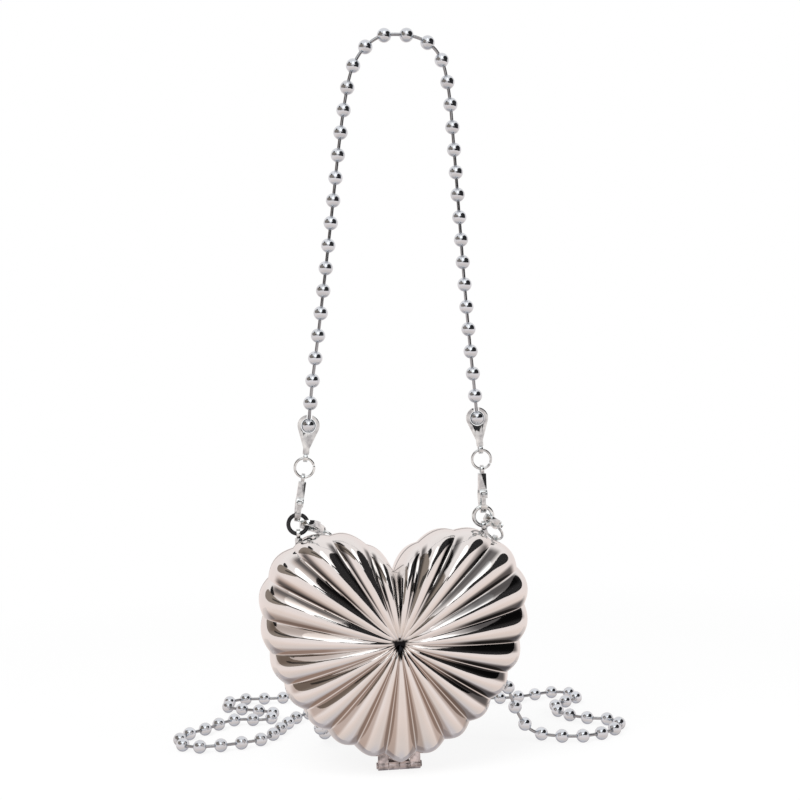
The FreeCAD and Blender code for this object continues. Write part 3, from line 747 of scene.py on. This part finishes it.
# %% [markdown]
# ### Shades painted on the shells
#
# The flanks of a groove mirror each other and whatever is close by, so on the real shells the lower grooves
# are brown, the ones at the right and the top are dark, and the pinch in the middle is a black pit in shade.
# Cards round the object give most bands of a mirror, but not these. So each point carries a few values,
# stored as mesh attributes, and the shell's material mixes a colour over the plating by each: painted
# reflections in the grooves, and painted shade in the pit and along the fine dark seam between the halves.
# An image could hold the values, but a formula in crest, angle and way along the rail follows the pleats by
# itself. The crest is zero in a crease and one on a ridge, and the way along is zero at the pinch and one at
# the rim.

# %% Helpers for shades
def smooth_rise(values, start, width):
    """Smooth step: zero up to the start, and one from a width further on."""
    share = np.clip((values - start) / width, 0.0, 1.0)
    return share * share * (3.0 - 2.0 * share)


def smooth_fall(values, end, width):
    """Smooth step down: one up to a width before the end, and zero from the end on."""
    return smooth_rise(-values, -end, width)


def on_whole_shell(skin):
    """Values of the skin's rows, with zeros for the pinch before and the land, dome and poles after them."""
    before = np.zeros((len(pinch_shares), skin.shape[1]))
    after = np.zeros((1 + dome_rows, skin.shape[1]))
    return np.concatenate([np.vstack([before, skin, after]).ravel(), np.zeros(2)])


def tint_by_attribute(material, attribute_name, colour):
    """Mixes a colour over the material's base colour by the value of a mesh attribute."""
    tree = material.node_tree
    base = tree.nodes["Principled BSDF"].inputs["Base Color"]
    attribute = tree.nodes.new("ShaderNodeAttribute")
    attribute.attribute_name = attribute_name
    plating = base.links[0].from_socket
    tree.links.new(mix_colour_node(tree, attribute.outputs["Fac"], plating, (*colour, 1.0)), base)


# Painted reflection: brown over the lower and left groove flanks.
tint_by_attribute(shell_silver, "groove", (0.56, 0.49, 0.45))
# Painted shade: near black in the pit of the pinch and along the seam between the halves.
tint_by_attribute(shell_silver, "pit", (0.012, 0.012, 0.014))
# Painted reflection: dark over the right flanks and beside the upper creases.
tint_by_attribute(shell_silver, "shadow", (0.10, 0.095, 0.095))
skin_angle, skin_crest = pleat_columns()
skin_along = np.linspace(0.0, 1.0, skin_rows)[:, None]
print("shades on", skin_rows, "rows of", len(skin_angle), "columns")

# %% Shades of the grooves
flank_top = 0.76
flank_blur = 0.14
crease_top = 0.05
groove_end = 0.86
groove_fade = 0.08
leaf_start = 0.20
leaf_blur = 0.25
side_start = 0.55
side_blur = 0.25
flank = smooth_fall(skin_crest, flank_top, flank_blur) * smooth_rise(skin_crest, crease_top, crease_top)
groove_run = smooth_fall(skin_along, groove_end, groove_fade)
leaf_run = groove_run * smooth_rise(skin_along, leaf_start, leaf_blur)

# Painted reflection: brown flanks low down and at the left
lower_top = 0.35
lower_drop = 0.9
lower = smooth_fall(np.cos(skin_angle), lower_top, lower_drop)
left = smooth_rise(-np.sin(skin_angle), side_start, side_blur)
groove_shade = on_whole_shell(flank * np.maximum(lower * groove_run, left * leaf_run))

# Painted reflection: dark flanks at the right and dark streaks beside the upper creases
streak_top = 0.52
streak_foot = 0.10
streak_blur = 0.10
streak_start = 0.12
upper_start = 0.05
upper_blur = 0.45
right = smooth_rise(np.sin(skin_angle), side_start, side_blur)
upper = smooth_rise(np.cos(skin_angle), upper_start, upper_blur)
streak = smooth_fall(skin_crest, streak_top, streak_blur) * smooth_rise(skin_crest, streak_foot, streak_blur)
streak_run = groove_run * smooth_rise(skin_along, streak_start, leaf_blur)
shadow_shade = on_whole_shell(np.maximum(flank * right * leaf_run, streak * upper * streak_run))
print("groove shade covers", round(groove_shade.mean(), 3), "and shadow shade", round(shadow_shade.mean(), 3))

# %% Shades of the pit and the seam
pit_half_width = 0.0042
pit_rise = 0.0022
pit_drop = 0.0075
pit_blur = 0.0012
seam_height = 0.0012
seam_blur = 0.0006


# Painted shade: near black in the pit of the pinch, where the pleats meet.
def pit_shade(points):
    """One inside a kite that hangs point down from the pinch, by the least distance to its three edges."""
    offset = points - heart_centre
    half_width = pit_half_width * (offset[:, 2] + pit_drop) / (pit_drop + pit_rise)
    inside = np.minimum(half_width - np.abs(offset[:, 0]), pit_rise - offset[:, 2])
    return smooth_rise(inside, -pit_blur / 2.0, pit_blur)


def seam_shade(points):
    """One on the skin next to the parting plane: a fine dark line of painted shade where the halves meet."""
    on_skin = on_whole_shell(np.ones((skin_rows, len(skin_angle))))
    return on_skin * smooth_fall(np.abs(points[:, 1] - heart_centre[1]), seam_height, seam_blur)


def add_shade(piece, name, values):
    """Stores one value for each point of a piece, for its material to read."""
    shade = piece.data.attributes.new(name, "FLOAT", "POINT")
    shade.data.foreach_set("value", values)


for shell in shells:
    points = mesh_points(shell.data)
    add_shade(shell, "groove", groove_shade)
    add_shade(shell, "shadow", shadow_shade)
    # The pit attribute carries the painted shade of the pit and of the seam.
    add_shade(shell, "pit", np.maximum(pit_shade(points), seam_shade(points)))
    print("shaded", shell.name)

# %% [markdown]
# ## Magnet bosses
#
# The two halves close on a pair of magnets under the cleft. Each sits in a round boss that stands from the
# inside of the shell to the parting plane. A boss is a turned form, so its profile is a short list of radii
# and depths carried round a circle, with a small round on each edge.

# %% Bosses
boss_radius = 0.00555
pocket_radius = 0.00405
pocket_depth = 0.0027
boss_depth = 0.0075
boss_round = 0.0003
boss_sides = 48
magnet_drop = 0.0097
magnet_height = heart_reach(np.zeros(1))[0] - magnet_drop


def boss(side):
    """Turned profile about Y: up the pocket wall, over the rim of the boss and down its outside."""
    radii = np.array([pocket_radius, pocket_radius, pocket_radius, pocket_radius + boss_round,
                      boss_radius - boss_round, boss_radius, boss_radius, boss_radius])
    depths = np.array([pocket_depth, pocket_depth - boss_round, rim_gap + boss_round, rim_gap, rim_gap,
                       rim_gap + boss_round, boss_depth - boss_round, boss_depth])
    turned = heart_points(turn_steps(boss_sides), radii[:, None], depths[:, None])
    return closed_tube(placed_half(turned + np.array([0.0, 0.0, magnet_height]), side))


for name, side, body in (("front_magnet_boss", 1.0, "lid"), ("back_magnet_boss", -1.0, "purse")):
    piece = add_piece(name, *boss(side), shell_silver)
    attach(piece, body)

# %% [markdown]
# ## Linings
#
# The cloth follows the inside of the shell, so it is the same dome a little further in, with a second dome
# one thickness inside it. Both are rows of one closed grid, which gives the cloth its edge for free.

# %% Cloth linings
lining_gap = 0.00025
lining_thickness = 0.0009
lining_edge = 0.0004
lining_columns = 184
lining_rows = 34


def lining(side):
    """Closed grid: out along the outer face of the cloth, over its edge and back along the inner face."""
    angle = turn_steps(lining_columns)
    outside = dome_rails(angle, lining_gap, lining_edge, lining_rows)
    inside = dome_rails(angle, lining_gap + lining_thickness, lining_edge, lining_rows)
    return closed_tube(placed_half(np.vstack([outside, inside[::-1]]), side))


for name, side, body, node in (("front_cloth", 1.0, "lid", "front_lining"),
                               ("back_cloth", -1.0, "purse", "back_lining")):
    piece = add_piece(name, *lining(side), lining_cloth)
    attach(piece, body)
    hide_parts(node)

# %% [markdown]
# ## Rings
#
# A jump ring is a turn of wire with its two ends pushed together, so each ring is a circle carried round
# most of a circle, with a hair's breadth left open and both ends rounded. The ring's plane is not written
# down again: it is read from the CAD node, whose points spread least along the ring's own axis.

# %% Wire rings
ring_steps = 72
ring_sides = 18
ring_middle = 0.00465
jump_wire = 0.00065
lug_wire = 0.0010
split_angle = 0.03
jump_split = 1.1
lug_split = 4.4
end_share = 0.7


def ring_frame(node):
    """Middle of a ring node and two directions in its plane, from the spread of its points."""
    points = mesh_points(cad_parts[node].data)
    middle = (points.min(axis=0) + points.max(axis=0)) / 2.0
    axes = np.linalg.svd(points - middle, full_matrices=False)[2]
    return middle, axes[0], np.cross(axes[2], axes[0])


def split_ring(node, wire, split_at):
    """Circle of the wire's radius carried round the ring from one side of the split to the other."""
    middle, first, second = ring_frame(node)
    turn = np.linspace(split_angle, 2.0 * math.pi - split_angle, ring_steps)[:, None] + split_at
    out = first * np.cos(turn) + second * np.sin(turn)
    swing = turn_steps(ring_sides)[:, None]
    section = out[:, None] * np.cos(swing) + np.cross(first, second) * np.sin(swing)
    thick = np.full((ring_steps, 1, 1), wire)
    thick[[0, -1]] *= end_share
    return closed_tube(middle + ring_middle * out[:, None] + thick * section)


for end, body in (("handle_left", "handle"), ("handle_right", "handle"), ("strap_left", "purse"),
                  ("strap_right", "purse")):
    ring_shape = split_ring(end + "_jump_ring", jump_wire, jump_split)
    ring = add_piece(end + "_split_ring", *ring_shape, clasp_silver)
    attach(ring, body)
    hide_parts(end + "_jump_ring")
for side, finish, slot in (("left", black_lacquer, "black_ring"), ("right", clasp_silver, "silver_metal")):
    ring_shape = split_ring(side + "_lug_ring", lug_wire, lug_split)
    ring = add_piece(side + "_lug_split_ring", *ring_shape, finish)
    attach(ring, "purse")
    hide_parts(side + "_lug_ring")

# %% [markdown]
# ## Clasps, connectors, lugs and hinge
#
# These are small castings and stampings whose CAD shape is already right. Their meshes are loose triangles,
# so a Weld modifier joins them and a Bevel rounds the edges as tumbling does, and each gets its metal.

# %% Dressed CAD nodes
weld_distance = 0.000002
round_segments = 3
sharp_angle = math.radians(35.0)
clasp_rounds = {"_clasp": 0.0007, "_clasp_gate": 0.0004, "_clasp_pin": 0.00010, "_connector": 0.00035}
plate_round = 0.00025
hinge_pin_round = 0.00020


def dress(node, material, round_width):
    """Joins a CAD node's triangles, rounds its sharp edges and gives it a material."""
    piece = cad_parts[node]
    weld = piece.modifiers.new("weld", "WELD")
    weld.merge_threshold = weld_distance
    bevel = piece.modifiers.new("round", "BEVEL")
    bevel.width = round_width
    bevel.segments = round_segments
    bevel.limit_method = "ANGLE"
    bevel.angle_limit = sharp_angle
    bevel.harden_normals = True
    piece.data.shade_smooth()
    for material_slot in piece.material_slots:
        material_slot.material = material
    print("dressed", node, "in", material.name)


for end in ("handle_left", "handle_right", "strap_left", "strap_right"):
    for part, round_width in clasp_rounds.items():
        dress(end + part, clasp_silver, round_width)
for side in ("left", "right"):
    dress(side + "_lug", clasp_silver, plate_round)
for side in ("front", "back"):
    dress(side + "_hinge_leaf", hinge_silver, plate_round)
    dress(side + "_magnet", magnet_steel, plate_round)
dress("hinge_pin", hinge_silver, hinge_pin_round)

# %% [markdown]
# ## Studio
#
# The purse stands in white. A world that lights softly from all sides could be white by itself, but then it
# would light the scene too strongly, so a Light Path node gives it two strengths: full white where it is
# seen and a softer one where it lights. The floor does the same: it is mostly plain white to the camera,
# and the small part that takes light keeps the faint shadow. Further away even that part fades, so that the
# floor's edge can't be seen.

# %% World
room_light = 0.55


def seen_directly(tree):
    """Socket that is one for camera, glossy and transmission rays and zero for the rest."""
    path = tree.nodes.new("ShaderNodeLightPath").outputs
    seen = math_node(tree, "MAXIMUM", path["Is Camera Ray"], path["Is Glossy Ray"])
    return math_node(tree, "MAXIMUM", seen, path["Is Transmission Ray"])


def mix_shaders(tree, factor, first, second, output):
    """Mix Shader node between two shaders by a factor, on to the tree's output."""
    mix = tree.nodes.new("ShaderNodeMixShader")
    tree.links.new(factor, mix.inputs["Fac"])
    tree.links.new(first, mix.inputs[1])
    tree.links.new(second, mix.inputs[2])
    tree.links.new(mix.outputs["Shader"], tree.nodes[output].inputs["Surface"])


def white_world():
    """World that lights softly and shows as white to the camera and in reflections."""
    world = bpy.data.worlds.new("white_room")
    world.use_nodes = True
    tree = world.node_tree
    light = tree.nodes["Background"]
    shown = tree.nodes.new("ShaderNodeBackground")
    for background, strength in ((light, room_light), (shown, 1.0)):
        background.inputs["Color"].default_value = (1.0, 1.0, 1.0, 1.0)
        background.inputs["Strength"].default_value = strength
    mix_shaders(tree, seen_directly(tree), light.outputs["Background"], shown.outputs["Background"],
                "World Output")
    return world


scene.world = white_world()
print("world lights with", room_light)

# %% Floor
floor_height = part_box("back_hinge_leaf")[0].z
floor_half = 4.0
shadow_reach = 0.45
shadow_end = 1.5 * shadow_reach
glow_near = 0.85


def floor_material():
    """White floor: mostly plain white to the camera, with a part that takes light and shadow."""
    material, tree, shader, place = plain_material("floor_white")
    shader.inputs["Base Color"].default_value = (0.92, 0.92, 0.92, 1.0)
    shader.inputs["Roughness"].default_value = 0.9
    shader.inputs["Specular IOR Level"].default_value = 0.0
    glow = tree.nodes.new("ShaderNodeEmission")
    glow.inputs["Strength"].default_value = 1.0
    distance = tree.nodes.new("ShaderNodeVectorMath")
    distance.operation = "LENGTH"
    tree.links.new(place, distance.inputs[0])
    fade = tree.nodes.new("ShaderNodeMapRange")
    fade.interpolation_type = "SMOOTHSTEP"
    for name, value in (("Value", distance.outputs["Value"]), ("From Min", shadow_reach),
                        ("From Max", shadow_end), ("To Min", glow_near), ("To Max", 1.0)):
        feed(tree, value, fade.inputs[name])
    white_share = math_node(tree, "MULTIPLY", seen_directly(tree), fade.outputs["Result"])
    mix_shaders(tree, white_share, shader.outputs["BSDF"], glow.outputs["Emission"], "Material Output")
    return material


def stage_sheet(name, points, faces, material):
    """Sheet that is not part of the object."""
    mesh = bpy.data.meshes.new(name)
    mesh.from_pydata(points.tolist(), [], faces.tolist())
    mesh.materials.append(material)
    sheet = bpy.data.objects.new(name, mesh)
    scene.collection.objects.link(sheet)
    return sheet


floor_corners = floor_half * np.array([(-1, -1, 0), (1, -1, 0), (1, 1, 0), (-1, 1, 0)])
floor = stage_sheet("floor", floor_corners + np.array([0, 0, floor_height]), np.array([[0, 1, 2, 3]]),
                    floor_material())
floor.visible_glossy = False
print("floor at", round(floor_height, 5))

# %% [markdown]
# ### Reflection cards
#
# Polished metal shows nothing but its surroundings, so what stands round the purse is half of its finish.
# In a photo studio pale and dark cards hang about it, and so they do here, but only reflections can see
# them. A whole sphere comes first. Its colour follows the height, from a pale ceiling to a warm, greyer
# floor. A patch low behind darkens the rolled edges. Dark and brown cards at the sides and a white one
# above give the pleats their bands. The handle's balls mirror almost everything at once, so small cards
# near them give the crisp marks that far ones can't. Rounded corners on a card keep its mirrored ends from
# looking cut.

# %% Card materials
def card_material(name, colour, strength=1.0):
    """Plain glow of one colour."""
    material, tree, shader, _ = plain_material(name)
    tree.nodes.remove(shader)
    glow = tree.nodes.new("ShaderNodeEmission")
    glow.inputs["Color"].default_value = (*colour, 1.0)
    glow.inputs["Strength"].default_value = strength
    tree.links.new(glow.outputs["Emission"], tree.nodes["Material Output"].inputs["Surface"])
    return material


def surround_material(name, bands, distance):
    """Glow whose colour follows the height round the heart, through a list of elevations and colours."""
    material = card_material(name, (1.0, 1.0, 1.0))
    tree = material.node_tree
    parts = tree.nodes.new("ShaderNodeSeparateXYZ")
    tree.links.new(tree.nodes["Texture Coordinate"].outputs["Object"], parts.inputs["Vector"])
    height = tree.nodes.new("ShaderNodeMapRange")
    for socket, value in (("Value", parts.outputs["Z"]), ("From Min", heart_centre[2] - distance),
                          ("From Max", heart_centre[2] + distance)):
        feed(tree, value, height.inputs[socket])
    ramp = tree.nodes.new("ShaderNodeValToRGB")
    tree.links.new(height.outputs["Result"], ramp.inputs["Fac"])
    stops = ramp.color_ramp.elements
    for elevation, colour in bands:
        stops.new((1.0 + math.sin(math.radians(elevation))) / 2.0).color = (*colour, 1.0)
    stops.remove(stops[0])
    stops.remove(stops[-1])
    tree.links.new(ramp.outputs["Color"], tree.nodes["Emission"].inputs["Color"])
    return material


surround_distance = 1.7
card_distance = 1.3
room_bands = [(-89.0, (0.62, 0.59, 0.61)), (-60.0, (0.71, 0.64, 0.61)), (-32.0, (0.81, 0.70, 0.65)),
              (-12.0, (0.88, 0.79, 0.76)), (12.0, (0.86, 0.79, 0.77)), (45.0, (0.90, 0.86, 0.85)),
              (89.0, (0.88, 0.84, 0.83))]
low_back_bands = [(-89.0, (0.62, 0.59, 0.61)), (-70.0, (0.47, 0.44, 0.46)), (-48.0, (0.45, 0.42, 0.44)),
                  (-15.0, (0.80, 0.72, 0.68))]
card_finishes = {"room": surround_material("card_room", room_bands, surround_distance),
                 "low_back": surround_material("card_low_back", low_back_bands, card_distance),
                 "brown": card_material("card_brown", (0.26, 0.22, 0.19)),
                 "umber": card_material("card_umber", (0.06, 0.055, 0.05)),
                 "dark": card_material("card_dark", (0.026, 0.025, 0.026)),
                 "white": card_material("card_white", (1.0, 1.0, 1.0), strength=1.5)}
print("card finishes", list(card_finishes))

# %% Cards round the heart and the handle
card_step = 5.0
handle_rise = 0.17
room = (0.0, surround_distance, 0.0)
behind = (0.0, card_distance, 0.0)
round_heart = (0.0, card_distance, 1.0)
round_handle = (handle_rise, 0.40, 0.6)
before_handle = (handle_rise, 0.38, 1.0)


def card(name, azimuths, elevations, place, material):
    """Patch of a sphere between two azimuths and two elevations, seen by reflections alone.

    The place is the sphere's height over the heart's centre, its radius and how round the patch is. The
    square of steps from -1 to 1 is drawn in towards a disc by the root of one less half of the other step's
    square.
    """
    height, radius, roundness = place
    columns = 1 + round(np.ptp(azimuths) / card_step)
    rows = 1 + max(2, round(np.ptp(elevations) / card_step))
    across = np.linspace(-1.0, 1.0, columns)
    along = np.linspace(-1.0, 1.0, rows)[:, None]
    turn_step = across * np.sqrt(1.0 - roundness * along ** 2 / 2.0)
    rise_step = along * np.sqrt(1.0 - roundness * across ** 2 / 2.0)
    turn = np.radians(np.mean(azimuths) + np.ptp(azimuths) / 2.0 * turn_step)
    rise = np.radians(np.mean(elevations) + np.ptp(elevations) / 2.0 * rise_step)
    grid = np.stack([np.sin(turn) * np.cos(rise), -np.cos(turn) * np.cos(rise), np.sin(rise)], axis=-1)
    points = heart_centre + np.array([0.0, 0.0, height]) + radius * grid.reshape(-1, 3)
    sheet = stage_sheet(name, points, grid_quads(rows, columns, False), material)
    sheet.visible_camera = False
    sheet.visible_diffuse = False
    sheet.visible_shadow = False
    sheet.visible_transmission = False


cards = [("room", (-180.0, 180.0), (-89.0, 89.0), room, "room"),
         ("low_back", (110.0, 250.0), (-88.0, -18.0), behind, "low_back"),
         ("right_dark", (20.0, 110.0), (11.0, 60.0), round_heart, "dark"),
         ("left_brown", (-122.0, -26.0), (9.0, 46.0), round_heart, "brown"),
         ("left_dark", (-112.0, -62.0), (44.0, 57.0), round_heart, "dark"),
         ("top_white", (-22.0, 17.0), (27.0, 68.0), round_heart, "white"),
         ("handle_dark", (-6.0, 100.0), (-6.0, 20.0), round_handle, "dark"),
         ("handle_left_dark", (-70.0, -10.0), (4.0, 14.0), round_handle, "umber"),
         ("handle_white", (-4.0, 5.0), (2.0, 10.0), before_handle, "white")]
for name, azimuths, elevations, place, finish in cards:
    card("card_" + name, azimuths, elevations, place, card_finishes[finish])
print("cards", len(cards))

# %% [markdown]
# ### Lamps
#
# Two large soft lamps, one high at the left and a weaker one at the right, shape the few parts that aren't
# mirrors and lay the shadow on the floor. Reflections don't see them, because the cards take that part.

# %% Lamps
def soft_lamp(name, azimuth, elevation, distance, size, power):
    """Square area lamp that faces the heart from a direction."""
    turn, rise = math.radians(azimuth), math.radians(elevation)
    way = Vector((math.sin(turn) * math.cos(rise), -math.cos(turn) * math.cos(rise), math.sin(rise)))
    lamp = bpy.data.lights.new(name, "AREA")
    lamp.size = size
    lamp.energy = power
    holder = bpy.data.objects.new(name, lamp)
    holder.location = Vector(heart_centre) + way * distance
    holder.rotation_euler = (-way).to_track_quat("-Z", "Y").to_euler()
    holder.visible_glossy = False
    scene.collection.objects.link(holder)
    print("lamp", name, "of", power, "W")


soft_lamp("key_lamp", azimuth=-35.0, elevation=50.0, distance=1.3, size=0.8, power=14.0)
soft_lamp("fill_lamp", azimuth=50.0, elevation=30.0, distance=1.5, size=0.6, power=5.0)
